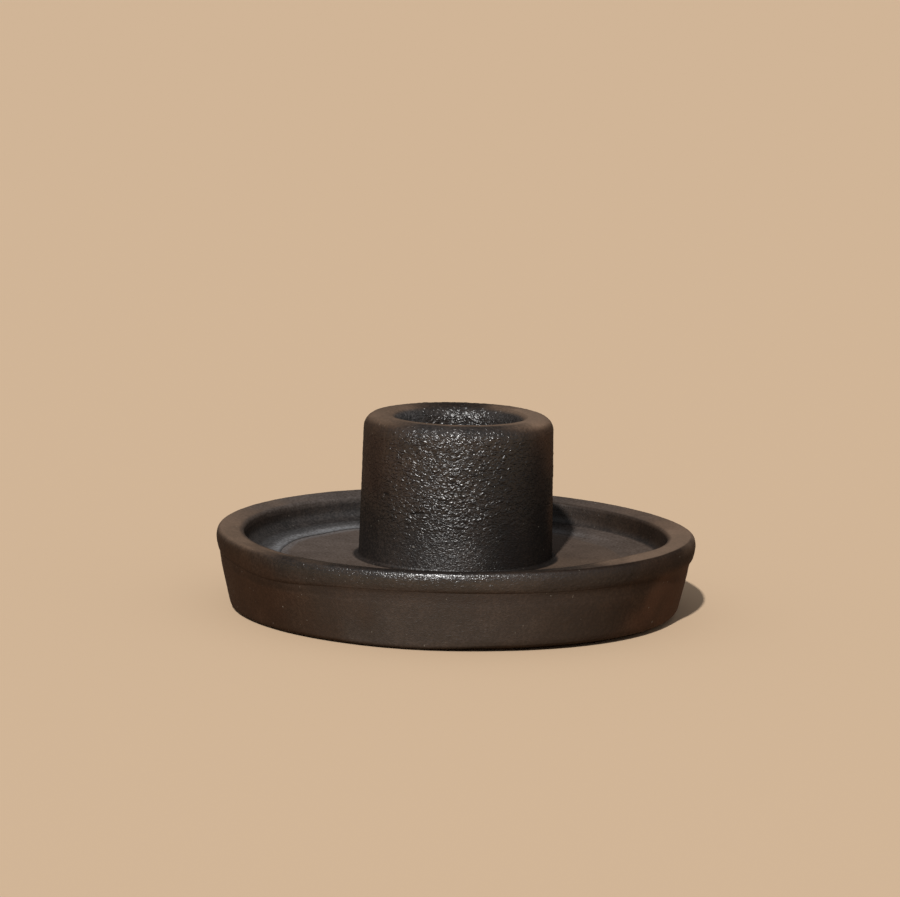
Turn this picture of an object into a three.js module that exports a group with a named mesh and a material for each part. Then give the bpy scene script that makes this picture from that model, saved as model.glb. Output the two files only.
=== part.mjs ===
// Ceramic candle holder: a round tray with a rolled rim and a thick-walled candle cup in its middle.
// Millimetres, +Z up. The table is z = 0 and the middle of the holder is x = y = 0.
// Each clay member is one solid of revolution, and neighbours meet on flat rings and upright cylinders.
import * as THREE from "three";

// Roundness of the turned members
const stepsAround = 72;
const degreesPerArcStep = 18;

// Standing ring under the tray floor
const footHeight = 5.4;
const footWidth = 6.5;
const footEdgeRound = 0.8;

// Tray floor
const floorThickness = 5.6;
const floorRadius = 42.5;

// Outer wall of the tray
const wallThickness = 6.9;
const wallDraft = 2.4;
const wallLift = 0.3;
const wallLedge = 1.5;
const wallFootRound = 1.1;
const wallGrooveChamfer = 0.25;

// Rolled band on top of the wall
const bandHeight = 5.05;
const bandWidth = 6.0;
const bandOverhang = 0.6;
const bandTopRound = 1.0;
const bandGrooveRound = 3.0;
const bandInnerRound = 0.7;
const bandInnerDrop = 0.5;

// Cove between floor and band, inside the tray
const trayDepth = 5.55;
const coveWidth = 6.6;
const coveHeight = 3.4;
const coveToe = 0.15;
const coveFlange = 0.45;
const coveLean = 0.3;
const coveCornerRound = 1.1;

// Candle cup
const cupHeight = 30.0;
const cupTopRadius = 19.8;
const cupTaper = 0.5;
const cupSeatDepth = 1.0;
const cupLipRound = 3.0;
const cupMouthRound = 3.4;

// Bore for a standard dinner candle
const candleDiameter = 22.0;
const candleClearance = 1.25;
const boreDepth = 25.0;

// Slip fillet round the foot of the cup
const filletSize = 0.7;

// Heights and radii that follow from the sizes above
const floorTop = footHeight + floorThickness;
const seatTop = floorTop - cupSeatDepth;
const rimTop = floorTop + trayDepth;
const bandBottom = rimTop - bandHeight;
const wallTopRadius = floorRadius + wallThickness;
const wallFootRadius = wallTopRadius - wallDraft;
const footOuterRadius = floorRadius + wallLedge;
const footInnerRadius = footOuterRadius - footWidth;
const bandOuterRadius = wallTopRadius + bandOverhang;
const bandInnerRadius = bandOuterRadius - bandWidth;
const coveInnerRadius = bandInnerRadius - coveWidth;
const coveTop = floorTop + coveHeight;
const coveSlopeTop = Math.max(floorTop, bandBottom) + coveFlange;
const cupTop = floorTop + cupHeight;
const cupFootRadius = cupTopRadius + cupTaper;
const boreRadius = candleDiameter / 2 + candleClearance;
const boreFloor = cupTop - boreDepth;

const glaze = new THREE.MeshStandardMaterial({
  name: "black_glaze",
  color: 0x2e2824,
  roughness: 0.55,
  metalness: 0,
});
const bareClay = new THREE.MeshStandardMaterial({
  name: "bare_clay",
  color: 0x6b5544,
  roughness: 0.9,
  metalness: 0,
});

const at = (radius, height) => new THREE.Vector2(radius, height);

// Points of a round stretch about a centre, from one angle to another in degrees.
// 0 degrees points away from the axis and 90 degrees points up.
function arc(centre, across, up, from, to) {
  const count = Math.max(2, Math.ceil(Math.abs(to - from) / degreesPerArcStep));
  return Array.from({ length: count + 1 }, (_, step) => {
    const angle = THREE.MathUtils.degToRad(from + ((to - from) * step) / count);
    return at(
      centre.x + across * Math.cos(angle),
      centre.y + up * Math.sin(angle),
    );
  });
}

// One clay member: its outline, written anticlockwise in radius and height, turned about the axis.
function turned(name, material, outline) {
  const shape = new THREE.LatheGeometry(outline, stepsAround);
  shape.rotateX(Math.PI / 2);
  const mesh = new THREE.Mesh(shape, material);
  mesh.name = name;
  return mesh;
}

// The same for a ring, whose outline closes on itself.
function turnedRing(name, material, outline) {
  return turned(name, material, [...outline, outline[0].clone()]);
}

// Standing ring: a flat bearing face with both of its edges rounded, and a flat top under floor and wall.
function footRing() {
  const round = footEdgeRound;
  return turnedRing("foot_ring", bareClay, [
    ...arc(at(footInnerRadius + round, round), round, round, 180, 270),
    ...arc(at(footOuterRadius - round, round), round, round, 270, 360),
    at(footOuterRadius, footHeight),
    at(footInnerRadius, footHeight),
  ]);
}

// Tray floor: a round slab on the standing ring, with a shallow seat turned in its top for the cup.
function trayFloor() {
  return turned("tray_floor", glaze, [
    at(0, footHeight),
    at(floorRadius, footHeight),
    at(floorRadius, floorTop),
    at(cupFootRadius, floorTop),
    at(cupFootRadius, seatTop),
    at(0, seatTop),
  ]);
}

// Outer wall: leans out from its rounded foot to the groove under the band, and its inner ledge sits on
// the standing ring. Its foot stays clear of the table, so that the standing ring carries the holder.
function dishWall() {
  const round = wallFootRound;
  return turnedRing("dish_wall", glaze, [
    at(footOuterRadius, wallLift),
    ...arc(at(wallFootRadius - round, wallLift + round), round, round, 270, 350),
    at(wallTopRadius, bandBottom - wallGrooveChamfer),
    at(wallTopRadius - wallGrooveChamfer, bandBottom),
    at(floorRadius, bandBottom),
    at(floorRadius, footHeight),
    at(footOuterRadius, footHeight),
  ]);
}

// Rolled band: swells out from the groove, turns over a tight shoulder and drops slightly to its inner edge.
function rimBand() {
  const groove = bandGrooveRound;
  const over = bandTopRound;
  const inner = bandInnerRound;
  const grooveReach = bandOverhang + wallGrooveChamfer;
  return turnedRing("rim_band", glaze, [
    at(bandInnerRadius, bandBottom),
    ...arc(at(bandOuterRadius - grooveReach, bandBottom + groove), grooveReach, groove, 270, 360),
    ...arc(at(bandOuterRadius - over, rimTop - over), over, over, 0, 90),
    ...arc(at(bandInnerRadius + inner, rimTop - bandInnerDrop - inner), inner, inner, 96, 180),
  ]);
}

// Cove: an upright face below the band, a tight corner, and a low slope that ends in a toe on the floor.
// It lies on the floor, and its outer flange lies on top of the wall.
function wallCove() {
  const round = coveCornerRound;
  const corner = at(bandInnerRadius - coveLean - round, coveSlopeTop + round);
  return turnedRing("wall_cove", glaze, [
    at(coveInnerRadius, floorTop),
    at(floorRadius, floorTop),
    at(floorRadius, bandBottom),
    at(bandInnerRadius, bandBottom),
    at(bandInnerRadius, coveTop),
    ...arc(corner, round, round, 360, 270),
    at(coveInnerRadius, floorTop + coveToe),
  ]);
}

// Candle cup: stands in the seat of the floor, tapers in a little towards its rounded lip, and has a
// blind bore with a flat floor for the candle. Its lowest stretch is upright, where the fillet meets it.
function candleCup() {
  const lip = cupLipRound;
  const mouth = cupMouthRound;
  return turned("candle_cup", glaze, [
    at(0, seatTop),
    at(cupFootRadius, seatTop),
    at(cupFootRadius, floorTop + filletSize),
    ...arc(at(cupTopRadius - lip, cupTop - lip), lip, lip, 0, 90),
    ...arc(at(boreRadius + mouth, cupTop - mouth), mouth, mouth, 90, 180),
    at(boreRadius, boreFloor),
    at(0, boreFloor),
  ]);
}

// Slip fillet: a small hollow curve that closes the corner between cup and floor.
function cupFillet() {
  const size = filletSize;
  return turnedRing("cup_fillet", glaze, [
    at(cupFootRadius, floorTop),
    ...arc(at(cupFootRadius + size, floorTop + size), size, size, 270, 180),
  ]);
}

const candleHolder = new THREE.Group();
candleHolder.name = "candle_holder";
candleHolder.add(
  footRing(),
  trayFloor(),
  dishWall(),
  rimBand(),
  wallCove(),
  candleCup(),
  cupFillet(),
);

export default candleHolder;
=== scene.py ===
import math

import bmesh
import bpy
import numpy as np
from mathutils import Matrix, Vector


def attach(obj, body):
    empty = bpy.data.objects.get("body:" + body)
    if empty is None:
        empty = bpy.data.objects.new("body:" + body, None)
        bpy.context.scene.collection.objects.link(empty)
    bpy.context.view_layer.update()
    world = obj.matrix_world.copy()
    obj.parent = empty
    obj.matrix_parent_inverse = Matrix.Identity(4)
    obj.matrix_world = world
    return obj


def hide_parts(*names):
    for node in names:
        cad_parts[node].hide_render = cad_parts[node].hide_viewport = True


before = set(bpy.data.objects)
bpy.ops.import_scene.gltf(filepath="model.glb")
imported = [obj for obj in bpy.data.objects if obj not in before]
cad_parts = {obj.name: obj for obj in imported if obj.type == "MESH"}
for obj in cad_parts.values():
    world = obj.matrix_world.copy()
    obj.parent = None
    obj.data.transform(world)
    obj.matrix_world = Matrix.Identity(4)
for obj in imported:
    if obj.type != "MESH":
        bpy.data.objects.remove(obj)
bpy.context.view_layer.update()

mm = 0.001                       # the outlines below are in millimetres
print("frame loaded:", sorted(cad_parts))


# Sizes of a turned node: the distance of its points from the axis, and its lowest and highest point.
def turnedSize(node):
    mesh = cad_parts[node].data
    places = np.empty(len(mesh.vertices) * 3)
    mesh.vertices.foreach_get("co", places)
    places = places.reshape(-1, 3) / mm
    away = np.hypot(places[:, 0], places[:, 1])
    return {"inner": away.min(), "outer": away.max(), "low": places[:, 2].min(), "high": places[:, 2].max()}


foot = turnedSize("foot_ring")
floorSlab = turnedSize("tray_floor")
wall = turnedSize("dish_wall")
band = turnedSize("rim_band")
cove = turnedSize("wall_cove")
cup = turnedSize("candle_cup")
fillet = turnedSize("cup_fillet")


# How the glaze lies: its relief, how dry it is, how pale it has turned (with painted warm reflection on the
# right), how much grey haze and painted sheen, how much rust and painted warm bounce light, how dark from
# cracks and painted shade, and how soft its gloss is.
glazeLie = {
    "hidden": (0.0, 0.0, 0.0, 0.0, 0.0, 0.0, 0.0),
    "cup": (1.0, 0.0, 0.015, 0.0, 0.0, 0.0, 0.0),
    "cupLeft": (1.0, 0.05, 0.025, 0.0, 0.20, 0.0, 0.1),
    # cupRight: painted warm bounce light on the cup's dim right side.
    "cupRight": (1.0, 0.65, 0.200, 0.0, 0.60, 0.0, 0.3),
    # The grey haze on the cup's foot, shoulder, mouth and bore is partly painted sheen of the key light.
    "cupLow": (0.8, 0.0, 0.010, 0.02, 0.0, 0.0, 0.8),
    # Painted shade on the cup's right lower side.
    "cupShade": (0.8, 0.0, 0.0, 0.0, 0.0, 0.50, 0.2),
    "cupShoulder": (1.2, 0.0, 0.06, 0.10, 0.0, 0.0, -0.5),
    "cupWet": (1.2, 0.0, 0.03, 0.10, 0.0, 0.0, -0.6),
    "lipBrown": (0.8, 0.40, 0.17, 0.0, 0.10, 0.0, 0.3),
    "lipTop": (0.50, 0.75, 0.70, 0.0, 0.0, 0.0, 0.0),
    # lipRight: paler on the right, partly painted warm reflection.
    "lipRight": (0.50, 0.80, 1.25, 0.0, 0.0, 0.0, 0.0),
    "mouth": (1.4, 0.0, 0.03, 0.11, 0.0, 0.0, -0.3),
    "bore": (1.1, 0.0, 0.0, 0.16, 0.0, 0.0, -0.2),
    "boreFloor": (0.5, 0.9, 0.34, 0.0, 0.0, 0.0, 0.0),
    # The grey haze on the tray, its edge and the cove is partly painted sheen of the key light.
    "tray": (0.35, 0.95, 0.36, 0.12, 0.0, 0.0, 0.0),
    "trayPale": (0.35, 0.95, 0.50, 0.08, 0.0, 0.0, 0.0),
    "trayEdge": (0.40, 0.90, 0.36, 0.27, 0.0, 0.0, 0.0),
    # fillet and crease: painted shade where the cup meets the floor and in the cove's crease.
    "fillet": (0.25, 0.30, 0.0, 0.0, 0.0, 0.55, 0.5),
    "crease": (0.45, 0.50, 0.05, 0.10, 0.0, 0.70, 0.2),
    "coveToe": (0.45, 0.50, 0.15, 0.54, 0.0, 0.0, 0.2),
    "coveFoot": (0.5, 0.30, 0.08, 0.38, 0.0, 0.0, 0.2),
    "coveRight": (0.40, 0.85, 0.30, 0.20, 0.0, 0.0, 0.1),
    "coveSlope": (0.7, 0.15, 0.02, 0.15, 0.0, 0.0, 0.2),
    "coveCorner": (0.7, 0.15, 0.02, 0.06, 0.0, 0.0, 0.2),
    "coveWall": (0.6, 0.20, 0.02, 0.02, 0.0, 0.0, 0.2),
    # coveWallRight: painted shade on the inner wall at the right back.
    "coveWallRight": (0.5, 0.65, 0.04, 0.0, 0.0, 0.32, 0.4),
    "rimInside": (0.6, 0.40, 0.19, 0.04, 0.0, 0.0, 0.2),
    "rimTop": (0.35, 0.85, 0.95, 0.0, 0.0, 0.0, 0.0),
    "rimBack": (0.50, 0.55, 0.18, 0.12, 0.0, 0.0, 0.1),
    # rimRight: paler on the right, partly painted warm reflection.
    "rimRight": (0.35, 0.85, 1.10, 0.0, 0.04, 0.0, 0.0),
    "rimCrest": (0.50, 0.15, 0.27, 0.0, 0.0, 0.0, 0.0),
    "rimGrey": (0.70, 0.45, 0.12, 0.06, 0.0, 0.06, 0.1),
    # Painted shade on the rim's outer shoulder and the band at the right front.
    "crestShade": (0.60, 0.60, 0.0, 0.01, 0.06, 0.12, 0.2),
    "bandShade": (0.70, 0.50, 0.0, 0.01, 0.04, 0.32, 0.2),
    "crestFront": (0.85, 0.0, 0.03, 0.0, 0.0, 0.0, 0.1),
    "crestWet": (0.48, 0.0, 0.02, 0.0, 0.0, 0.0, -0.35),
    "bandFront": (0.75, 0.45, 0.0, 0.02, 0.0, 0.05, 0.3),
    "wall": (0.45, 0.85, 0.0, 0.0, 0.0, 0.0, 0.3),
    # The wall's sides: painted warm bounce light from the table.
    "wallSide": (0.45, 0.85, 0.0, 0.0, 0.26, 0.0, 0.3),
    "wallRight": (0.45, 0.85, 0.08, 0.0, 0.58, 0.0, 0.3),
    "wallBounce": (0.45, 0.85, 0.14, 0.0, 0.75, 0.0, 0.3),
    # Painted shade on the wall at the right front.
    "wallShade": (0.45, 0.75, 0.0, 0.0, 0.03, 0.16, 0.3),
    # Painted shade under the groove.
    "underGrooveShade": (0.45, 0.85, 0.0, 0.0, 0.05, 0.20, 0.3),
    # wallFront: painted sheen of the key light at the middle of the wall's front.
    "wallFront": (0.55, 0.60, 0.0, 0.05, 0.0, 0.0, 0.3),
    "under": (0.4, 0.6, 0.15, 0.0, 0.0, 0.0, 0.3),
}

glazeAttributes = (
    "glazeRelief", "glazeDry", "glazePale", "glazeHazeAndSheen", "glazeRustAndBounce", "glazeCrackAndShade", "glazeSoft",
)
reliefColumn = glazeAttributes.index("glazeRelief")
hazeAndSheenColumn = glazeAttributes.index("glazeHazeAndSheen")
crackAndShadeColumn = glazeAttributes.index("glazeCrackAndShade")

# Where the glaze lies otherwise: the way it lies there, the direction and half width in degrees, the lowest
# and highest height, the nearest and farthest distance from the axis, and the share that it takes. A half
# width of 400 goes all the way round.
runs = [
    # Painted warm bounce light on the wall's sides.
    ("wallSide", 185, 45, -1.0, 14.0, 44, 51, 1.0),
    ("wallRight", -8, 43, -1.0, 14.0, 44, 51, 1.0),
    ("wallBounce", 0, 28, -1.0, 15.0, 44, 51, 1.0),
    # Painted shade on the wall at the right front.
    ("wallShade", -59, 21, -2.0, 15.0, 44, 51, 1.0),
    # Painted shade under the groove.
    ("underGrooveShade", -95, 62, 9.7, 12.0, 44, 51, 1.0),
    # Painted sheen in the middle of the wall's front.
    ("wallFront", -94, 22, -4.0, 8.8, 44, 51, 1.0),
    ("bandFront", -98, 38, 12.2, 15.0, 48, 51, 1.0),
    ("rimGrey", -76, 20, 14.3, 19.0, 43.5, 51, 1.0),
    ("crestFront", -98, 46, 14.3, 19.0, 43.5, 51, 1.0),
    ("crestWet", -92, 26, 14.3, 19.0, 43.5, 51, 1.0),
    # The rim's back: bluish grey haze that is partly painted sheen.
    ("rimBack", 92, 70, 14.6, 19.0, 44.2, 51, 1.0),
    # Rim top paler on the right, partly painted warm reflection.
    ("rimRight", -14, 32, 14.9, 19.0, 44.2, 51, 1.0),
    # Painted shade on the rim's outer shoulder and band at the right front.
    ("crestShade", -40, 34, 12.6, 19.0, 49.0, 51, 1.0),
    ("bandShade", -57, 15, 11.8, 19.0, 48.9, 51, 1.0),
    ("trayPale", -13, 15, 10.0, 13.0, 21.5, 34.5, 1.0),
    ("coveRight", 2, 52, 10.0, 13.0, 35.0, 42.5, 1.0),
    # Painted shade on the inner wall at the right back.
    ("coveWallRight", 15, 60, 12.6, 16.0, 42.9, 45, 1.0),
    ("cupLow", -90, 400, -2.0, 17.0, 18, 21.5, 1.0),
    ("cup", 90, 40, 36.5, 43.0, 10, 18.5, 1.0),
    ("cupWet", -92, 32, 38.0, 40.6, 16.5, 20.5, 1.0),
    ("cupLeft", 190, 48, 25.0, 40.0, 18, 21.5, 1.0),
    # Painted warm bounce light on the cup's dim right side.
    ("cupRight", -2, 33, 17.0, 40.0, 18, 21.5, 1.0),
    # Painted shade on the cup's right lower side.
    ("cupShade", -42, 32, 2.0, 34.0, 18, 21.5, 1.0),
    ("lipBrown", 190, 46, 37.4, 43.0, 16.8, 20, 0.7),
    ("lipBrown", -5, 42, 38.4, 43.0, 16.8, 20, 0.7),
    ("lipTop", 188, 42, 40.0, 43.0, 14.5, 20, 1.0),
    # Lip top paler on the right, partly painted warm reflection.
    ("lipRight", -2, 42, 39.9, 43.0, 14.5, 20, 1.0),
]


# Outline stretches: rows of radius, height and the seven glaze amounts.
def stretch(path, lie):
    return np.column_stack([path, np.tile(glazeLie[lie], (len(path), 1))])


# Even steps from start to end; the end point belongs to the next stretch.
def steps(start, end, count, lie="hidden"):
    start, end = np.array(start, float), np.array(end, float)
    share = np.arange(count)[:, None] / count
    return stretch(start + (end - start) * share, lie)


# The same, in steps of about the spacing.
def line(start, end, spacing, lie="hidden"):
    length = float(np.linalg.norm(np.subtract(end, start)))
    return steps(start, end, max(1, round(length / spacing)), lie)


# The point on the axis where an open outline ends.
def pole(height):
    return stretch(np.array([(0.0, height)]), "hidden")


# Points of an arc: centre + (across * cos, up * sin) of an angle; 0 degrees points off the axis.
def onArc(centre, across, up, degrees):
    angle = np.radians(degrees)
    return np.stack([centre[0] + across * np.cos(angle), centre[1] + up * np.sin(angle)], -1)


# An arc whose angle runs evenly; its last point belongs to the next stretch.
def arc(centre, across, up, fromAngle, toAngle, spacing, lie="hidden"):
    length = math.radians(abs(toAngle - fromAngle)) * 0.5 * (across + up)
    count = max(3, round(length / spacing))
    degrees = fromAngle + (toAngle - fromAngle) * np.arange(count) / count
    return stretch(onArc(centre, across, up, degrees), lie)


# A curve from start to end that sets off towards the control point and comes in from it:
# (1 - t)^2 start + 2 t (1 - t) control + t^2 end.
def curve(start, control, end, spacing, lie):
    start, control, end = np.array(start, float), np.array(control, float), np.array(end, float)
    count = max(3, round(float(np.linalg.norm(end - start)) / spacing))
    t = np.arange(count)[:, None] / count
    return stretch((1 - t) ** 2 * start + 2 * t * (1 - t) * control + t ** 2 * end, lie)


wavelengthSpread = (0.75, 1.35)       # length of each wave, as a share of the one asked for


# Waves: the sum of cosines of place . direction / wavelength + phase, scaled so that its spread is 1.
def waves(places, wavelength, seed, drawn=(1.0, 1.0, 1.0), count=56):
    chance = np.random.default_rng(seed)
    direction = chance.normal(size=(count, 3))
    direction /= np.linalg.norm(direction, axis=1)[:, None]
    length = wavelength * chance.uniform(*wavelengthSpread, count)
    direction *= (2 * math.pi / length)[:, None] / np.array(drawn)
    phase = chance.uniform(0, 2 * math.pi, count)
    return np.cos(places @ direction.T + phase).sum(1) * math.sqrt(2 / count)


# Smooth step from 0 at low to 1 at high: 3 t^2 - 2 t^3.
def ease(value, low, high):
    share = np.clip((value - low) / (high - low), 0, 1)
    return share * share * (3 - 2 * share)


# The same falling, from 1 at low to 0 at high.
def fall(value, low, high):
    return 1 - ease(value, low, high)


# 1 between low and high and 0 outside, each end eased over its soft width to both sides.
def within(value, low, high, soft):
    return ease(value, low - soft, low + soft) * fall(value, high - soft, high + soft)


# Distance of each point from the axis, and its direction round it.
def roundAxis(places):
    return np.hypot(places[:, 0], places[:, 1]), np.arctan2(places[:, 1], places[:, 0])


# Angle between two directions round the axis, in degrees from -180 to 180.
def turnGap(turn, degrees):
    return np.degrees(np.angle(np.exp(1j * (turn - math.radians(degrees)))))


# Tilt to one side: amount * cos(angle off its direction).
def tilt(turn, amount, degrees):
    return amount * np.cos(turn - math.radians(degrees))


# Bell round the axis: exp(-(angle off its direction / width)^power), flatter on top at a higher power.
def bell(turn, degrees, width, power=2):
    return np.exp(-(turnGap(turn, degrees) / width) ** power)


# Sum of bells, each times its amount.
def bells(turn, rows):
    return sum(amount * bell(turn, degrees, width) for amount, degrees, width in rows)


# Sum of waves round the axis: share * cos(number * turn + phase).
def lobes(turn, rows):
    return sum(share * np.cos(number * turn + phase) for share, number, phase in rows)


# Unevenness in millimetres. A tilt has an amount and a direction in degrees, a bell an amount, a direction
# and a width, and a wave a share, its number round the dish and its phase. A pair of heights, or distances
# from the axis, is where something sets in or ends.
handmade = {
    "outside": (44.5, 47.5),
    "slowWave": 0.06,                 # slow unevenness of wall and rim
    "wallWaves": ((0.6, 2, 0.7), (0.4, 5, 2.1)),
    "rimWaves": ((1.0, 3, 1.0),),
    "groove": band["low"],            # height of the groove where band and wall were joined
    "grooveRise": 0.30,               # its line goes up and down round the dish
    "grooveLift": (0.65, -85.0),
    "grooveDip": ((1.3, -138.0, 17.0),),
    "grooveReach": 2.4,
    "grooveWidth": 0.34,
    "grooveDepth": 0.050,             # it comes and goes,
    "grooveDepthWave": 0.035,
    "grooveWaves": ((1.0, 9, 0.9), (0.6, 4, 2.6)),
    "grooveFill": ((0.14, -116.0, 19.0), (0.14, -46.0, 27.0)),    # and is filled at two stretches
    "overhang": (0.20, 15.0),         # the band stands out more on the right and at the back
    "overhangBlend": 1.2,
    "overhangRest": 0.6,
    "rimTilt": (0.35, 100.0),         # the rim is highest at the back
    "rimBend": (0.12, 120.0),
    "rimRise": ((0.50, -75.0, 38.0), (0.45, -18.0, 26.0)),        # it rises in front and at the right,
    "innerRise": ((0.75, -40.0, 18.0),),                          # and its inner edge between them
    "innerEdge": (44.5, 48.5),
    "rimHeights": (12.0, 15.5),
    "rimReach": (38.0, 44.0),
    "footLift": 0.60,                 # the wall's foot ends higher on the right than on the left
    "footLiftFrom": (-102.0, -78.0),
    "footLiftTo": (10.0, 60.0),
    "footHeights": (0.6, 2.6),
    "footReach": (44.5, 45.6),
    "trayHeights": (9.5, 10.5),
    "floorWave": 0.05,
    "floorWavelength": 16.0,
    "floorSeed": 5,
    "floorFrom": (22.0, 26.0),
    "floorTo": (38.0, 43.0),
    "creasePull": 1.7,                # the toe of the cove reaches further in at the back left
    "creasePullAt": 118.0,
    "creasePullFrom": (29.0, 35.5),
    "creasePullTo": (38.5, 43.0),
    "creaseSharp": (136.0, 36.0),     # there the cove ends in a sharp crease, elsewhere it runs out
    "creaseSoftness": 0.85,
    "toeHeights": (10.5, 11.0),
    "toeFrom": (35.2, 35.4),
    "toeTo": (37.0, 39.5),
}


# Shift of the outside off the axis: overhang and slow waves less the groove, which is a bell of the height.
def outsideShift(turn, height):
    settings = handmade
    fromGroove = height - settings["groove"]
    blend = settings["overhangBlend"]
    onBand = ease(fromGroove, -blend, blend) - settings["overhangRest"]
    out = tilt(turn, *settings["overhang"]) * onBand
    out += settings["slowWave"] * lobes(turn, settings["wallWaves"])
    depth = settings["grooveDepth"] + settings["grooveDepthWave"] * lobes(turn, settings["grooveWaves"])
    depth = np.maximum(0, depth) - bells(turn, settings["grooveFill"])
    return out - depth * np.exp(-(fromGroove / settings["grooveWidth"]) ** 2)


# Shift of the groove's line up: its rise, tilt and dip, times a bell of the height.
def grooveShift(turn, height):
    settings = handmade
    rise = settings["grooveRise"] + tilt(turn, *settings["grooveLift"])
    rise -= bells(turn, settings["grooveDip"])
    return rise * np.exp(-((height - settings["groove"]) / settings["grooveReach"]) ** 2)


# Shift of the rim up: a tilt, a bend, slow waves and bells, of which the last is for its inner edge.
def rimShift(turn, away, height):
    settings = handmade
    bend, bendAt = settings["rimBend"]
    rise = tilt(turn, *settings["rimTilt"])
    rise += bend * np.cos(2 * (turn - math.radians(bendAt)))
    rise += settings["slowWave"] * lobes(turn, settings["rimWaves"])
    rise += bells(turn, settings["rimRise"])
    rise += bells(turn, settings["innerRise"]) * fall(away, *settings["innerEdge"])
    return rise * ease(height, *settings["rimHeights"]) * ease(away, *settings["rimReach"])


# Shift of the wall's foot up: eased in at the front and out again behind the right side.
def footShift(turn, away, height):
    settings = handmade
    degrees = np.degrees(turn)
    right = ease(degrees, *settings["footLiftFrom"]) * fall(degrees, *settings["footLiftTo"])
    atFoot = fall(height, *settings["footHeights"]) * ease(away, *settings["footReach"])
    return settings["footLift"] * right * atFoot


# Unevenness of a hand-turned dish, as a shift of each point that depends only on where the point is, so
# that neighbouring pieces stay closed. Up: groove, rim, foot, waves of the tray's floor, and the toe of the
# cove, sunk where it has no sharp crease. Out: the shift of the outside less the pull at the toe.
def handTurned(places):
    settings = handmade
    away, turn = roundAxis(places)
    height = places[:, 2]
    outside = ease(away, *settings["outside"])
    inTray = ease(height, *settings["trayHeights"])
    up = grooveShift(turn, height) * outside
    up += rimShift(turn, away, height)
    up += footShift(turn, away, height)
    onFloor = inTray * ease(away, *settings["floorFrom"]) * fall(away, *settings["floorTo"])
    floorWaves = waves(places, settings["floorWavelength"], settings["floorSeed"], count=12)
    up += settings["floorWave"] * onFloor * floorWaves
    onToe = ease(away, *settings["toeFrom"]) * fall(away, *settings["toeTo"])
    onToe *= ease(height, *settings["toeHeights"])
    sunk = settings["creaseSoftness"] * (1 - bell(turn, *settings["creaseSharp"], power=4))
    up -= sunk * onToe * (height - floorSlab["high"])
    backLeft = 0.5 + tilt(turn, 0.5, settings["creasePullAt"])
    pull = settings["creasePull"] * backLeft ** 2 * inTray
    pull *= ease(away, *settings["creasePullFrom"]) * fall(away, *settings["creasePullTo"])
    scale = 1 + (outside * outsideShift(turn, height) - pull) / np.maximum(away, 1.0)
    return np.column_stack([places[:, 0] * scale, places[:, 1] * scale, height + up])


relief = {
    "pebble": 0.026,                  # millimetres; round pebbles of thick glaze with fine creases between
    "pebbleWavelength": 1.5,
    "pebbleDrawn": (1.12, 1.12, 0.86),            # they are wider than high
    "pebbleCrease": 0.16,
    "pebbleLevel": 0.8,               # about their mean height, which comes off
    "grain": 0.008,                   # finer grit over them
    "grainWavelength": 0.8,
    "swell": 0.015,                   # slow pull of the glaze
    "swellWavelength": 7.5,
    "jointFade": 0.6,                 # it sets in over this length from a joint
    "blend": 0.45,                    # how far the glaze amounts run into each other along an outline
    "sheenSway": (0.65, 140.0),        # more of the grey haze and painted reflection on this side
    "seed": 11,
}

# Short cracks in the glaze of the cup: degrees round the axis, height and half length.
cracks = [
    (-136.6, 26.0, 0.8),
    (-113.7, 23.0, 1.7),
    (-71.0, 24.0, 0.9),
    (-92.0, 29.5, 0.5),
    (64.0, 27.0, 1.2),
]

crackShape = {
    "halfWidth": 0.22,
    "depth": 0.16,
    "dark": 0.9,
    "wander": 0.10,
    "wanderWavelength": 2.4,
    "seed": 29,
    "from": (18.5, 19.0),             # distances from the axis: only the outside of the cup has them
    "to": (20.8, 21.5),
}


# Height of the glaze over the clay: pebbles are sqrt(wave^2 + crease^2), then grain and swell are added.
def glazeHeight(places):
    seed = relief["seed"]
    wave = waves(places, relief["pebbleWavelength"], seed, relief["pebbleDrawn"])
    pebble = np.sqrt(wave * wave + relief["pebbleCrease"] ** 2) - relief["pebbleLevel"]
    grain = waves(places, relief["grainWavelength"], seed + 1)
    swell = waves(places, relief["swellWavelength"], seed + 2, count=24)
    return relief["pebble"] * pebble + relief["grain"] * grain + relief["swell"] * swell


# How deep each point lies in a crack: exp(-(height off it / half width)^2 - (arc off it / half length)^4).
def inCracks(places):
    away, turn = roundAxis(places)
    bent = waves(places, crackShape["wanderWavelength"], crackShape["seed"], count=12)
    depth = np.zeros(len(places))
    for degrees, height, halfLength in cracks:
        off = (places[:, 2] - height - crackShape["wander"] * bent) / crackShape["halfWidth"]
        along = np.radians(turnGap(turn, degrees)) * away / halfLength
        depth = np.maximum(depth, np.exp(-off ** 2 - along ** 4))
    return depth * ease(away, *crackShape["from"]) * fall(away, *crackShape["to"])


# Distance of each row along the outline.
def alongOutline(outline):
    lengths = np.linalg.norm(np.diff(outline[:, :2], axis=0), axis=1)
    return np.concatenate([[0], np.cumsum(lengths)])


# How far each row of an outline lies from the nearest hidden row, measured along the outline, so that the
# relief can fade out where two pieces meet.
def fromJoint(outline, closed):
    along = alongOutline(outline)
    joints = along[outline[:, 2] == 0]
    if closed:
        total = along[-1] + np.linalg.norm(outline[0, :2] - outline[-1, :2])
        joints = np.concatenate([joints - total, joints, joints + total])
    return np.abs(along[:, None] - joints).min(1)


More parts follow.
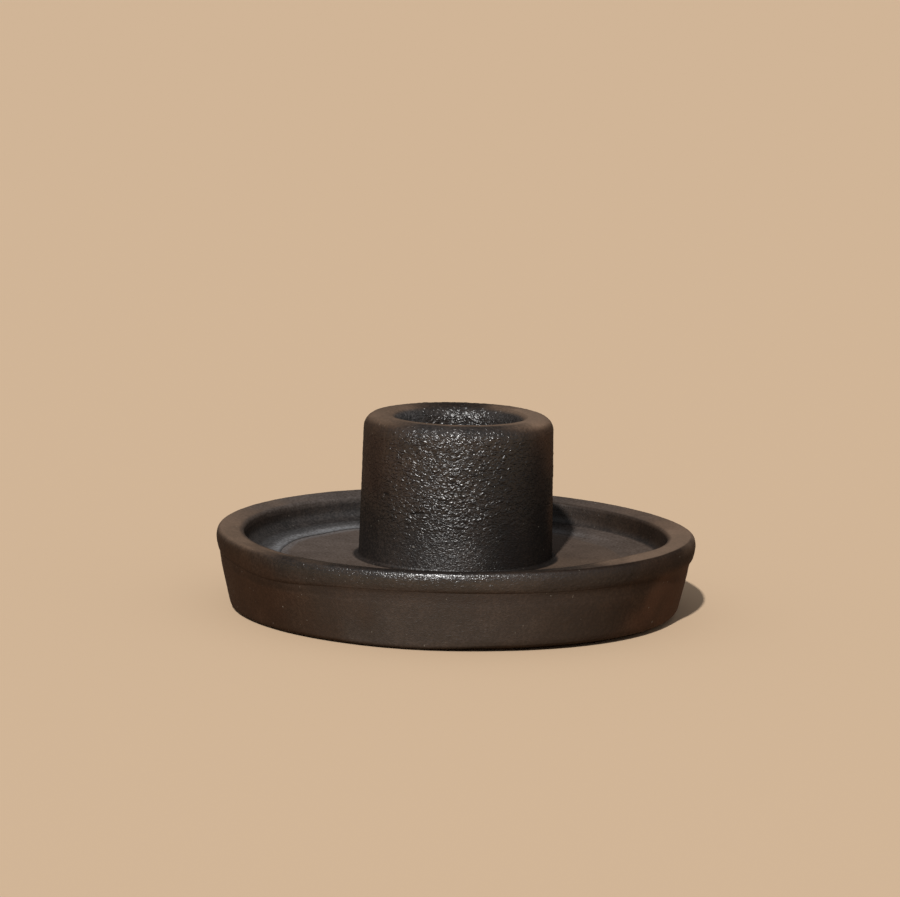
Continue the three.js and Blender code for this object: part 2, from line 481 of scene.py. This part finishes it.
# Glaze amounts of the rows that show, averaged with weights exp(-(distance / blend)^2) of their neighbours.
# The hidden row next to them, where two pieces meet, takes the same colour.
def blendedAmounts(outline):
    along = alongOutline(outline)
    amounts = outline[:, 2:].copy()
    shown = outline[:, 2] > 0
    if not shown.any():
        return amounts
    beside = ~shown & (np.roll(shown, 1) | np.roll(shown, -1))
    weight = np.exp(-((along[:, None] - along[shown]) / relief["blend"]) ** 2)
    weight += 1e-12                   # a row far from all of them takes their plain average
    averaged = weight @ amounts[shown] / weight.sum(1)[:, None]
    amounts[shown] = averaged[shown]
    amounts[beside, 1:] = averaged[beside, 1:]
    return amounts


runEdge = {
    "wander": 3.0,                    # degrees that the sides of the runs wander
    "wanderWavelength": 8.0,
    "seed": 41,
    "softHeight": 0.25,               # share of a run's height
    "softDistance": 0.3,              # millimetres
}


# Amounts changed by the runs: each has the weight share * exp(-(turn off it / half width)^4), eased in over
# its heights and distances, and moves the amounts by that much towards its own.
def withRuns(places, amounts):
    away, turn = roundAxis(places)
    wander = runEdge["wander"] * waves(places, runEdge["wanderWavelength"], runEdge["seed"], count=16)
    for lie, degrees, halfWidth, low, high, near, far, share in runs:
        weight = share * np.exp(-((turnGap(turn, degrees) + wander) / halfWidth) ** 4)
        weight *= within(places[:, 2], low, high, runEdge["softHeight"] * (high - low))
        weight *= within(away, near, far, runEdge["softDistance"])
        amounts = amounts + weight[:, None] * (np.array(glazeLie[lie]) - amounts)
    return amounts


# Outward normal of each row of an outline: (dz, -dr) from the row before it to the row after it.
def outwardOf(outline, closed):
    following = np.roll(outline, -1, 0)
    before = np.roll(outline, 1, 0)
    if not closed:
        following[-1], before[0] = outline[-1], outline[0]
    along = following - before
    outward = np.column_stack([along[:, 1], -along[:, 0]])
    return outward / np.linalg.norm(outward, axis=1)[:, None]


# Rows of radius and height carried round the axis: each point is (r cos a, r sin a, z).
def carriedRound(rows, turn):
    carried = np.empty((len(rows), len(turn), 3))
    carried[..., 0] = rows[:, :1] * np.cos(turn)
    carried[..., 1] = rows[:, :1] * np.sin(turn)
    carried[..., 2] = rows[:, 1:]
    return carried.reshape(-1, 3)


# Quads of the grid: a row, a step round the axis and the next of each. A closed outline joins its ends.
def gridFaces(rows, around, closed):
    row, step = np.meshgrid(np.arange(rows if closed else rows - 1), np.arange(around), indexing="ij")
    nextRow, nextStep = (row + 1) % rows, (step + 1) % around
    corners = [
        row * around + step,
        row * around + nextStep,
        nextRow * around + nextStep,
        nextRow * around + step,
    ]
    return np.stack(corners, -1).reshape(-1, 4)


# Makes an object of some data and puts it into the scene.
def addObject(name, data):
    made = bpy.data.objects.new(name, data)
    bpy.context.scene.collection.objects.link(made)
    return made


# Merges the points that lie on one another at the two poles, which turns their quads into triangles.
def weldPoles(mesh):
    work = bmesh.new()
    work.from_mesh(mesh)
    bmesh.ops.remove_doubles(work, verts=work.verts, dist=1e-7)
    work.to_mesh(mesh)
    work.free()


sharpAngle = 42.0                     # degrees: an edge that bends more than this stays sharp


# A turned piece: the outline is carried round the axis, moved along its normal by the relief of the glaze
# and by the cracks, and shifted as the hand-turned dish is.
def turnedPiece(name, outline, around, closed):
    outline = np.vstack(outline)
    turn = 2 * math.pi * np.arange(around) / around
    places = carriedRound(outline[:, :2], turn)
    normals = carriedRound(outwardOf(outline[:, :2], closed), turn)
    amounts = np.repeat(blendedAmounts(outline), around, 0)
    shown = amounts.any(1)
    amounts[shown] = withRuns(places[shown], amounts[shown])
    # The haze and painted sheen are stronger on one side, as a painted reflection.
    amounts[:, hazeAndSheenColumn] *= 1 + np.tile(tilt(turn, *relief["sheenSway"]), len(outline))
    cracked = inCracks(places) * shown
    # Cracks darken the glaze; the same amount also carries painted shade.
    amounts[:, crackAndShadeColumn] = np.maximum(amounts[:, crackAndShadeColumn], cracked * crackShape["dark"])
    fade = np.repeat(ease(fromJoint(outline, closed), 0, relief["jointFade"]), around)
    height = np.zeros(len(places))
    height[shown] = (amounts[:, reliefColumn] * fade)[shown] * glazeHeight(places[shown])
    height -= crackShape["depth"] * cracked
    places = handTurned(places + normals * height[:, None]) * mm
    if not closed:                    # each end of the outline is on the axis: one point closes the pole
        places[:around] = places[:around].mean(0)
        places[-around:] = places[-around:].mean(0)

    mesh = bpy.data.meshes.new(name)
    mesh.from_pydata(places, [], gridFaces(len(outline), around, closed).tolist())
    for column, attribute in enumerate(glazeAttributes):
        mesh.attributes.new(attribute, "FLOAT", "POINT").data.foreach_set("value", amounts[:, column])
    if not closed:
        weldPoles(mesh)
    mesh.polygons.foreach_set("use_smooth", np.ones(len(mesh.polygons), bool))
    mesh.set_sharp_from_angle(angle=math.radians(sharpAngle))
    mesh.update()
    return addObject(name, mesh)


# Hands a finished piece to the frame: it rides on the one body and stands for its CAD node.
def standFor(piece, node, finish):
    piece.data.materials.append(finish)
    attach(piece, "root")
    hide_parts(node)
    print(piece.name, "made,", len(piece.data.polygons), "faces")


# A socket of a node tree. Arithmetic on it adds Math nodes; vectors and colours use named methods.
class Value:
    def __init__(self, nodes, socket):
        self.nodes = nodes
        self.socket = socket

    def maths(self, operation, *parts):
        return self.nodes.add("ShaderNodeMath", {"operation": operation}, dict(enumerate(parts)))

    def __add__(self, other):
        return self.maths("ADD", self, other)

    def __radd__(self, other):
        return self.maths("ADD", other, self)

    def __sub__(self, other):
        return self.maths("SUBTRACT", self, other)

    def __rsub__(self, other):
        return self.maths("SUBTRACT", other, self)

    def __mul__(self, other):
        return self.maths("MULTIPLY", self, other)

    def __rmul__(self, other):
        return self.maths("MULTIPLY", other, self)

    def size(self):
        return self.maths("ABSOLUTE", self)

    def between(self, low, high):     # 0 at low, 1 at high, smooth in between
        settings = {"interpolation_type": "SMOOTHSTEP"}
        inputs = {"Value": self, "From Min": low, "From Max": high}
        return self.nodes.add("ShaderNodeMapRange", settings, inputs)


# A node tree, of a material or of the sky.
class Nodes:
    def __init__(self, owner):
        owner.use_nodes = True
        self.tree = owner.node_tree
        self.tree.nodes.clear()

    def add(self, kind, settings, inputs, output=0):
        node = self.tree.nodes.new(kind)
        for key, value in settings.items():
            setattr(node, key, value)
        for key, value in inputs.items():
            if isinstance(value, Value):
                self.tree.links.new(value.socket, node.inputs[key])
            else:
                node.inputs[key].default_value = value
        if len(node.outputs):
            return Value(self, node.outputs[output])

    def place(self, kind="Object"):
        return self.add("ShaderNodeTexCoord", {}, {}, kind)

    def along(self, axis, vector):
        return self.add("ShaderNodeSeparateXYZ", {}, {"Vector": vector}, axis)

    def attribute(self, name):
        return self.add("ShaderNodeAttribute", {"attribute_name": name}, {}, "Fac")

    def noise(self, vector, size, detail=2.0, roughness=0.5, distortion=0.0):
        inputs = {"Vector": vector, "Scale": 1 / size, "Detail": detail, "Roughness": roughness}
        inputs["Distortion"] = distortion
        return self.add("ShaderNodeTexNoise", {}, inputs, "Fac")

    def mixColour(self, share, first, second):
        return self.add("ShaderNodeMix", {"data_type": "RGBA"}, {0: share, 6: first, 7: second}, 2)

    def bump(self, height, distance=1.0):
        inputs = {"Strength": 1.0, "Distance": distance, "Height": height}
        return self.add("ShaderNodeBump", {}, inputs, "Normal")

    def stretched(self, vector, amounts):
        settings = {"operation": "MULTIPLY"}
        return self.add("ShaderNodeVectorMath", settings, {0: vector, 1: amounts}, "Vector")


glaze = {
    "blackDark": (0.0085, 0.0068, 0.0060, 1),     # where the glaze lies thick it is black and satin
    "blackWarm": (0.0165, 0.0115, 0.0088, 1),
    "brownDark": (0.0170, 0.0088, 0.0045, 1),     # where it lies thin it is brown and matt
    "brownWarm": (0.0300, 0.0158, 0.0082, 1),
    "paleDark": (0.126, 0.086, 0.060, 1),         # and paler on top, where it ran off
    "paleWarm": (0.190, 0.125, 0.086, 1),
    "hazeAndSheen": (0.165, 0.165, 0.170, 1),             # a grey haze where it pooled, and painted sheen of the key light
    "speckColour": (0.20, 0.18, 0.15, 1),         # grains of clay that show through
    # rust, also used for painted warm bounce light on the sides
    "rustAndBounce": (0.062, 0.027, 0.014, 1),
    # dark of the cracks, also used for painted shade
    "deep": (0.004, 0.0036, 0.0034, 1),
    "patch": 0.009,                               # sizes in metres: clouding of the colour,
    "patchRange": (0.35, 0.68),
    "patchShare": 0.6,
    "mottle": 0.00198,                            # mottling over it
    "fleck": 0.00055,                             # and fine flecks
    "fleckRange": (0.34, 0.66),
    "fleckShare": 0.40,
    "drySpread": 0.35,
    "paleSpread": 0.10,
    "rustAndBounceSpread": 0.30,
    "rustAndBounceLeast": 0.85,
    "hazeAndSheenClouds": (0.3, 0.5, 0.6),                # patches, mottling and flecks of the haze and painted sheen
    "hazeAndSheenLeast": 0.3,
    "speck": 0.0006,
    "speckRange": (0.845, 0.885),
    "speckShare": 0.55,
    "ior": 1.5,
    "specular": 0.72,
    "satinRoughness": 0.32,
    "softRoughness": 0.14,                        # added where the gloss is soft
    "dryRoughness": 0.70,
    "roughnessSpread": 0.12,
    "grazeRange": (0.05, 0.50),                   # the rough glaze loses its gloss at flat angles
    "grazeShare": 0.9,
    "dryShare": 0.30,                             # and where it is dry
    "crackAndShadeShare": 0.80,                            # and where it is dark, in cracks and painted shade
    "coarseSize": 0.00130,                        # crumpled skin of the cup's upper part
    "coarseDepth": 0.00078,
    "coarseHeights": (0.013, 0.026),              # between these it sets in
    "fineSize": 0.00062,                          # fine skin everywhere, less of it on the coarse
    "fineDepth": 0.00034,
    "fineFade": 0.7,
    "flatten": (1.0, 1.0, 1.5),
    "gritSize": 0.00024,
    "gritDepth": 0.00003,
    "dullRelief": 0.50,                           # share of the relief that the dull part shows
    "dullRoughness": 0.9,
    "dullSpecular": 0.05,
}


# Colour of the glaze: clouds of warm and dark, brown where it is dry, then pale (with painted warm
# reflection on the right), rust and painted warm bounce light, a grey haze and painted sheen, pale specks,
# and cracks and painted shade, each mixed over the last by its amount.
def glazeColour(nodes, place, mottle, dry, deep):
    patch = nodes.noise(place, glaze["patch"], detail=3.0, roughness=0.6).between(*glaze["patchRange"])
    fleck = nodes.noise(place, glaze["fleck"], detail=1.0).between(*glaze["fleckRange"])
    clouding = patch * glaze["patchShare"] + mottle * (1 - glaze["patchShare"])
    clouding = clouding * (1 - glaze["fleckShare"]) + fleck * glaze["fleckShare"]
    black = nodes.mixColour(clouding, glaze["blackDark"], glaze["blackWarm"])
    brown = nodes.mixColour(clouding, glaze["brownDark"], glaze["brownWarm"])
    paler = nodes.mixColour(clouding, glaze["paleDark"], glaze["paleWarm"])
    colour = nodes.mixColour(dry, black, brown)
    pale = nodes.attribute("glazePale") + (clouding - 0.5) * glaze["paleSpread"]
    colour = nodes.mixColour(pale, colour, paler)
    rustAndBounce = nodes.attribute("glazeRustAndBounce") * (clouding * glaze["rustAndBounceSpread"] + glaze["rustAndBounceLeast"])
    colour = nodes.mixColour(rustAndBounce, colour, glaze["rustAndBounce"])
    inPatch, inMottle, inFleck = glaze["hazeAndSheenClouds"]
    hazeAndSheenShare = patch * inPatch + mottle * inMottle + fleck * inFleck + glaze["hazeAndSheenLeast"]
    colour = nodes.mixColour(nodes.attribute("glazeHazeAndSheen") * hazeAndSheenShare, colour, glaze["hazeAndSheen"])
    specks = nodes.noise(place, glaze["speck"], detail=0.0).between(*glaze["speckRange"])
    colour = nodes.mixColour(specks * glaze["speckShare"], colour, glaze["speckColour"])
    return nodes.mixColour(deep, colour, glaze["deep"])


# Skin of the glaze, as a height: folds |noise - 0.5|, coarse ones high up and fine ones below, and grit.
def glazeSkin(nodes, place):
    flat = nodes.stretched(place, glaze["flatten"])
    coarse = (nodes.noise(flat, glaze["coarseSize"], detail=1.0, distortion=0.6) - 0.5).size()
    fine = (nodes.noise(flat, glaze["fineSize"], detail=1.0, distortion=0.4) - 0.5).size()
    grit = nodes.noise(place, glaze["gritSize"], detail=0.0)
    high = nodes.along("Z", place).between(*glaze["coarseHeights"])
    skin = coarse * high * glaze["coarseDepth"] + fine * (1 - high * glaze["fineFade"]) * glaze["fineDepth"]
    return skin * nodes.attribute("glazeRelief") + grit * glaze["gritDepth"]


# Black stoneware glaze: satin where it is thick and faces the eye, dull where it is dry, in cracks or
# painted shade, or seen at a flat angle.
def blackGlaze(name):
    material = bpy.data.materials.new(name)
    nodes = Nodes(material)
    place = nodes.place()
    mottle = nodes.noise(place, glaze["mottle"], roughness=0.55)
    dry = (nodes.attribute("glazeDry") + (mottle - 0.5) * glaze["drySpread"]).between(0.0, 1.0)
    # cracks and painted shade
    deep = nodes.attribute("glazeCrackAndShade")
    colour = glazeColour(nodes, place, mottle, dry, deep)
    skin = glazeSkin(nodes, place)
    satin = nodes.attribute("glazeSoft") * glaze["softRoughness"] + glaze["satinRoughness"]
    roughness = satin + (glaze["dryRoughness"] - satin) * dry
    glossy = nodes.add("ShaderNodeBsdfPrincipled", {}, {
        "Base Color": colour,
        "Roughness": roughness + (mottle - 0.5) * glaze["roughnessSpread"],
        "IOR": glaze["ior"],
        "Specular IOR Level": glaze["specular"],
        "Normal": nodes.bump(skin),
    })
    dull = nodes.add("ShaderNodeBsdfPrincipled", {}, {
        "Base Color": colour,
        "Roughness": glaze["dullRoughness"],
        "Specular IOR Level": glaze["dullSpecular"],
        "Normal": nodes.bump(skin, glaze["dullRelief"]),
    })
    facing = nodes.add("ShaderNodeLayerWeight", {}, {"Blend": 0.5}, "Facing")
    gloss = 1 - facing.between(*glaze["grazeRange"]) * glaze["grazeShare"]
    gloss = gloss * (1 - dry * glaze["dryShare"]) * (1 - deep * glaze["crackAndShadeShare"])
    mixed = nodes.add("ShaderNodeMixShader", {}, {0: 1 - gloss, 1: glossy, 2: dull})
    nodes.add("ShaderNodeOutputMaterial", {}, {"Surface": mixed})
    return material


clay = {
    "pale": (0.150, 0.108, 0.078, 1),
    "deep": (0.085, 0.060, 0.043, 1),
    "grain": 0.0011,
    "grainRange": (0.35, 0.65),
    "gritDepth": 0.00006,
    "roughness": 0.88,
}


# Bare stoneware where the glaze is wiped off: grog grains, matte.
def bareClay(name):
    material = bpy.data.materials.new(name)
    nodes = Nodes(material)
    grain = nodes.noise(nodes.place(), clay["grain"], detail=4.0, roughness=0.65)
    shader = nodes.add("ShaderNodeBsdfPrincipled", {}, {
        "Base Color": nodes.mixColour(grain.between(*clay["grainRange"]), clay["deep"], clay["pale"]),
        "Roughness": clay["roughness"],
        "Normal": nodes.bump(grain * clay["gritDepth"]),
    })
    nodes.add("ShaderNodeOutputMaterial", {}, {"Surface": shader})
    return material


blackGlazeFinish = blackGlaze("black_glaze")
bareClayFinish = bareClay("bare_clay")
print("finishes made")


standingRing = {"around": 360, "spacing": 0.5, "edgeRound": 0.8}


# Standing ring: a flat bearing face between two rounded edges, wiped free of glaze.
def makeStandingRing():
    settings = standingRing
    step, edge = settings["spacing"], settings["edgeRound"]
    inner, outer, low, high = foot["inner"], foot["outer"], foot["low"], foot["high"]
    outline = [
        arc((inner + edge, low + edge), edge, edge, 180, 270, step),
        line((inner + edge, low), (outer - edge, low), step),
        arc((outer - edge, low + edge), edge, edge, 270, 360, step),
        steps((outer, low + edge), (outer, high), 2),
        steps((outer, high), (inner, high), 3),
        line((inner, high), (inner, low + edge), step),
    ]
    piece = turnedPiece("standing_ring", outline, settings["around"], True)
    standFor(piece, "foot_ring", bareClayFinish)


traySlab = {
    "around": 700,
    "spacing": 0.34,
    "underSpacing": 0.9,
    "seatDepth": 1.0,
    "edgeWidth": 1.6,
    "underCove": 1.0,                 # its finish goes on this far under the cove,
    "underFillet": 0.5,               # and stops this far from the cup
}


# Tray floor: a slab with the cup's seat turned in its top.
def makeTraySlab():
    settings = traySlab
    step, under = settings["spacing"], settings["underSpacing"]
    outer, low, high = floorSlab["outer"], floorSlab["low"], floorSlab["high"]
    seat = high - settings["seatDepth"]
    cupFoot = cup["outer"]
    filletEdge = cupFoot + settings["underFillet"]
    coveEdge = cove["inner"] + settings["underCove"]
    hazeAndSheenEdge = cove["inner"] - settings["edgeWidth"]
    outline = [
        line((0, low), (foot["inner"], low), under, "under"),
        steps((foot["inner"], low), (outer, low), 3),
        steps((outer, low), (outer, high), 2),
        steps((outer, high), (coveEdge, high), 3),
        # From here in, more grey haze and painted sheen towards the cove.
        line((coveEdge, high), (hazeAndSheenEdge, high), step, "trayEdge"),
        line((hazeAndSheenEdge, high), (filletEdge, high), step, "tray"),
        steps((filletEdge, high), (cupFoot, high), 1),
        steps((cupFoot, high), (cupFoot, seat), 2),
        steps((cupFoot, seat), (0, seat), 5),
        pole(seat),
    ]
    piece = turnedPiece("tray_slab", outline, settings["around"], False)
    standFor(piece, "tray_floor", blackGlazeFinish)


leaningWall = {
    "around": 960,
    "spacing": 0.32,
    "seamSpacing": 0.16,
    "lift": 0.3,
    "footRound": 1.1,
    "footRoundTo": 350.0,             # angle of the round at which the straight lean begins
    "footRadius": 46.95,
    "flareFrom": (48.82, 9.2),
    "flareBend": (49.0, 10.4),
    "seamRadius": 49.3,
}


# Outer wall: a rounded foot, a straight lean, and a slight flare out to the groove under the band.
def makeLeaningWall():
    settings = leaningWall
    step, edge, lift = settings["spacing"], settings["footRound"], settings["lift"]
    high, inner = wall["high"], wall["inner"]
    ledge, ledgeHeight = foot["outer"], foot["high"]
    seam, flare = settings["seamRadius"], settings["flareFrom"]
    footRound = (settings["footRadius"] - edge, lift + edge)
    leanFrom = settings["footRoundTo"]
    outline = [
        line((ledge, lift), (footRound[0], lift), step, "wall"),
        arc(footRound, edge, edge, 270, leanFrom, step, "wall"),
        line(onArc(footRound, edge, edge, leanFrom), flare, step, "wall"),
        curve(flare, settings["flareBend"], (seam, high), settings["seamSpacing"], "wall"),
        steps((seam, high), (inner, high), 3),
        steps((inner, high), (inner, ledgeHeight), 3),
        steps((inner, ledgeHeight), (ledge, ledgeHeight), 2),
        steps((ledge, ledgeHeight), (ledge, lift), 5),
    ]
    piece = turnedPiece("leaning_wall", outline, settings["around"], True)
    standFor(piece, "dish_wall", blackGlazeFinish)


rolledRim = {
    "around": 960,
    "spacing": 0.30,
    "seamSpacing": 0.16,
    "seamBend": (49.85, 12.15),
    "widest": (50.1, 14.5),
    "shoulderBend": (50.12, 15.2),
    "shoulderRound": 1.0,
    "shoulderRadius": 48.98,          # middle of the shoulder's round
    "shoulderSpacing": 0.12,
    "shoulderFrom": 5.0,              # angles of that round: it begins,
    "crestFrom": 20.0,                # the crest begins
    "paleFrom": 58.0,                 # and the pale top begins
    "innerRound": 0.7,
    "innerDrop": 0.55,
    "innerLean": 0.25,
}


# Rolled rim: swells out of the groove, turns over a tight shoulder and drops to a crisp inner edge.
def makeRolledRim():
    settings = rolledRim
    step, fineStep, tightStep = settings["spacing"], settings["seamSpacing"], settings["shoulderSpacing"]
    inner, low, high = band["inner"], band["low"], band["high"]
    edge, drop, lean = settings["innerRound"], settings["innerDrop"], settings["innerLean"]
    edgeCentre = (inner + lean + edge, high - drop - edge)
    over, widest = settings["shoulderRound"], settings["widest"]
    shoulder = (settings["shoulderRadius"], high - over)
    begin, crest, pale = settings["shoulderFrom"], settings["crestFrom"], settings["paleFrom"]
    seam = leaningWall["seamRadius"]
    outline = [
        steps((inner, low), (seam, low), 4),
        curve((seam, low), settings["seamBend"], widest, fineStep, "wall"),
        curve(widest, settings["shoulderBend"], onArc(shoulder, over, over, begin), fineStep, "wall"),
        arc(shoulder, over, over, begin, crest, tightStep, "wall"),
        arc(shoulder, over, over, crest, pale, tightStep, "rimCrest"),
        arc(shoulder, over, over, pale, 90, tightStep, "rimTop"),
        line((shoulder[0], high), (edgeCentre[0], edgeCentre[1] + edge), step, "rimTop"),
        arc(edgeCentre, edge, edge, 90, 180, fineStep, "rimInside"),
        line((inner + lean, edgeCentre[1]), (inner, cove["high"]), step, "coveWall"),
        steps((inner, cove["high"]), (inner, low), 2),
    ]
    piece = turnedPiece("rolled_rim", outline, settings["around"], True)
    standFor(piece, "rim_band", blackGlazeFinish)


hollowCove = {
    "around": 840,
    "spacing": 0.30,
    "wallEnd": (43.75, 13.3),          # the upright part ends here,
    "corner": (43.2, 11.80),           # turns through here
    "slopeStart": (41.2, 11.68),       # and goes on as a low slope
    "slopeHollow": (40.4, 11.58),
    "slopeBend": (39.6, 11.41),
    "toe": 0.14,
    "toeWidth": 1.6,
    "toeSlope": 0.05,
    "creaseWidth": 0.15,
    "creaseSpacing": 0.12,
    "creaseEdge": 0.05,
}


# Cove: upright below the rim, a tight turn, and a low hollow slope that ends in the crease on the floor.
def makeHollowCove():
    settings = hollowCove
    step = settings["spacing"]
    inner, outer, low, high = cove["inner"], cove["outer"], cove["low"], cove["high"]
    slabEdge, wallTop = floorSlab["outer"], wall["high"]
    wallEnd, slopeStart, slopeBend = settings["wallEnd"], settings["slopeStart"], settings["slopeBend"]
    toe = low + settings["toe"]
    toeStart = (inner + settings["toeWidth"], toe + settings["toeSlope"])
    toeEnd = (inner + settings["creaseWidth"], toe)
    creaseEnd = (inner, low + settings["creaseEdge"])
    outline = [
        steps((inner, low), (slabEdge, low), 4),
        steps((slabEdge, low), (slabEdge, wallTop), 1),
        steps((slabEdge, wallTop), (outer, wallTop), 2),
        steps((outer, wallTop), (outer, high), 2),
        line((outer, high), wallEnd, step, "coveWall"),
        curve(wallEnd, settings["corner"], slopeStart, step, "coveCorner"),
        curve(slopeStart, settings["slopeHollow"], slopeBend, step, "coveSlope"),
        line(slopeBend, toeStart, step, "coveFoot"),
        line(toeStart, toeEnd, step, "coveToe"),
        # The crease is darkened: painted shade.
        line(toeEnd, creaseEnd, settings["creaseSpacing"], "crease"),
        steps(creaseEnd, (inner, low), 1),
    ]
    piece = turnedPiece("hollow_cove", outline, settings["around"], True)
    standFor(piece, "wall_cove", blackGlazeFinish)


candleCup = {
    "around": 460,
    "spacing": 0.27,
    "deepSpacing": 0.62,
    "floorSpacing": 0.8,
    "lipRound": 3.0,
    "shoulderFrom": 58.0,             # the lip's shoulder begins at this angle of its round
    "mouthRound": 3.4,
    "mouthFrom": 130.0,               # and the mouth at this angle of its own
    "taper": 0.5,
    "boreRadius": 12.25,
    "boreDepth": 25.0,
    "seenDepth": 9.0,
}


# Candle cup: a slightly tapered wall, a rounded lip and a rounded mouth, then the bore and its floor.
def makeCandleCup():
    settings = candleCup
    step, deepStep = settings["spacing"], settings["deepSpacing"]
    lip, mouth, bore = settings["lipRound"], settings["mouthRound"], settings["boreRadius"]
    outer, low, high = cup["outer"], cup["low"], cup["high"]
    upright = fillet["high"]
    side = outer - settings["taper"]
    lipRound = (side - lip, high - lip)
    mouthRound = (bore + mouth, high - mouth)
    shoulder, inside = settings["shoulderFrom"], settings["mouthFrom"]
    seenTo, boreFloor = high - settings["seenDepth"], high - settings["boreDepth"]
    outline = [
        steps((0, low), (outer, low), 5),
        steps((outer, low), (outer, upright), 3),
        line((outer, upright), (side, high - lip), step, "cup"),
        arc(lipRound, lip, lip, 0, shoulder, step, "cup"),
        arc(lipRound, lip, lip, shoulder, 90, step, "cupShoulder"),
        line((side - lip, high), (bore + mouth, high), step, "lipTop"),
        arc(mouthRound, mouth, mouth, 90, inside, step, "lipTop"),
        arc(mouthRound, mouth, mouth, inside, 180, step, "mouth"),
        line((bore, high - mouth), (bore, seenTo), step, "bore"),
        line((bore, seenTo), (bore, boreFloor), deepStep, "bore"),
        line((bore, boreFloor), (0, boreFloor), settings["floorSpacing"], "boreFloor"),
        pole(boreFloor),
    ]
    piece = turnedPiece("thick_candle_cup", outline, settings["around"], False)
    standFor(piece, "candle_cup", blackGlazeFinish)


slipFillet = {"around": 440, "spacing": 0.14}


# Slip fillet: a small hollow quarter curve between the cup and the floor.
def makeSlipFillet():
    settings = slipFillet
    inner, outer, low, high = fillet["inner"], fillet["outer"], fillet["low"], fillet["high"]
    outline = [
        steps((inner, low), (outer, low), 1),
        # The fillet is darkened: painted shade where the cup meets the floor.
        arc((outer, high), outer - inner, high - low, 270, 180, settings["spacing"], "fillet"),
        steps((inner, high), (inner, low), 1),
    ]
    piece = turnedPiece("slip_fillet", outline, settings["around"], True)
    standFor(piece, "cup_fillet", blackGlazeFinish)


makeStandingRing()
makeTraySlab()
makeLeaningWall()
makeRolledRim()
makeHollowCove()
makeCandleCup()
makeSlipFillet()
print("pieces made")


studio = {
    "floorColour": (0.62, 0.45, 0.30, 1),
    "floorSize": 16.0,
    "floorRoughness": 0.95,
    "floorSpecular": 0.1,
    "skyColour": (0.27, 0.275, 0.285, 1),
    "backdropColour": (0.48, 0.35, 0.24, 1),     # a warm pale backdrop low down behind the table
    "backdropTop": (0.16, 0.34),                 # sines of the elevations where it ends
    "behind": (-0.30, 0.30),                     # where front turns into back
    "keyStrength": 3.8,
    "keyColour": (1.0, 0.99, 0.97),
    "keyElevation": 39.0,
    "keyAzimuth": -10.5,                         # to the left of the camera
    "keySoftness": 2.0,                          # degrees across
}


# Pale matte floor: one square, so large that it fills the picture.
def makeFloor():
    half = studio["floorSize"] / 2
    corners = [(-half, -half, 0), (half, -half, 0), (half, half, 0), (-half, half, 0)]
    mesh = bpy.data.meshes.new("floor")
    mesh.from_pydata(corners, [], [(0, 1, 2, 3)])
    material = bpy.data.materials.new("pale_floor")
    nodes = Nodes(material)
    shader = nodes.add("ShaderNodeBsdfPrincipled", {}, {
        "Base Color": studio["floorColour"],
        "Roughness": studio["floorRoughness"],
        "Specular IOR Level": studio["floorSpecular"],
    })
    nodes.add("ShaderNodeOutputMaterial", {}, {"Surface": shader})
    mesh.materials.append(material)
    floor = addObject("floor", mesh)


# Soft key light from the front left, as far off as the sun. It shines from the direction
# (sin side * cos up, -cos side * cos up, sin up).
def makeKey():
    key = bpy.data.lights.new("key", "SUN")
    key.energy = studio["keyStrength"]
    key.color = studio["keyColour"]
    key.angle = math.radians(studio["keySoftness"])
    up, side = math.radians(studio["keyElevation"]), math.radians(studio["keyAzimuth"])
    towards = Vector((math.sin(side) * math.cos(up), -math.cos(side) * math.cos(up), math.sin(up)))
    lamp = addObject("key", key)
    lamp.rotation_euler = towards.to_track_quat("Z", "Y").to_euler()


# Sky: an even soft light, and a warm pale backdrop low down behind the table.
def makeSky():
    world = bpy.data.worlds.new("sky")
    bpy.context.scene.world = world
    nodes = Nodes(world)
    direction = nodes.place("Generated")
    low = 1 - nodes.along("Z", direction).between(*studio["backdropTop"])
    behind = nodes.along("Y", direction).between(*studio["behind"])
    colour = nodes.mixColour(low * behind, studio["skyColour"], studio["backdropColour"])
    light = nodes.add("ShaderNodeBackground", {}, {"Color": colour, "Strength": 1.0})
    nodes.add("ShaderNodeOutputWorld", {}, {"Surface": light})


photoView = {
    "elevation": 11.2,                 # degrees above the table
    "distance": 0.85,                  # metres from the middle of the holder's base
    "roll": 1.51,                      # degrees, right side low
    "pixelsPerMetre": 4753.0,          # at that distance
    "basePixel": (453.9, 606.9),       # where the middle of the base lies in the picture
    "pictureSize": (900, 897),
    "sensor": 36.0,
}


# Camera: looks at the base's middle, turned by the roll, and then so that this point falls on its pixel.
def makeCamera():
    view = photoView
    wide, high = view["pictureSize"]
    focal = view["pixelsPerMetre"] * view["distance"]
    data = bpy.data.cameras.new("photo_camera")
    data.sensor_fit = "HORIZONTAL"
    data.sensor_width = view["sensor"]
    data.lens = view["sensor"] * focal / wide
    data.clip_start = 0.01
    data.clip_end = 100
    up = math.radians(view["elevation"])
    place = Vector((0, -math.cos(up), math.sin(up))) * view["distance"]
    look = (-place).to_track_quat("-Z", "Y").to_matrix()
    roll = Matrix.Rotation(math.radians(view["roll"]), 3, "Z")
    across, down = view["basePixel"][0] - wide / 2, view["basePixel"][1] - high / 2
    seen = Vector((across / focal, -down / focal, -1))
    aside = seen.rotation_difference(Vector((0, 0, -1))).to_matrix()
    camera = addObject("photo_camera", data)
    camera.matrix_world = Matrix.Translation(place) @ (look @ roll @ aside).to_4x4()
    bpy.context.scene.camera = camera


makeFloor()
makeKey()
makeSky()
makeCamera()
bpy.context.scene.view_settings.view_transform = "Standard"
print("stage, light and camera made")
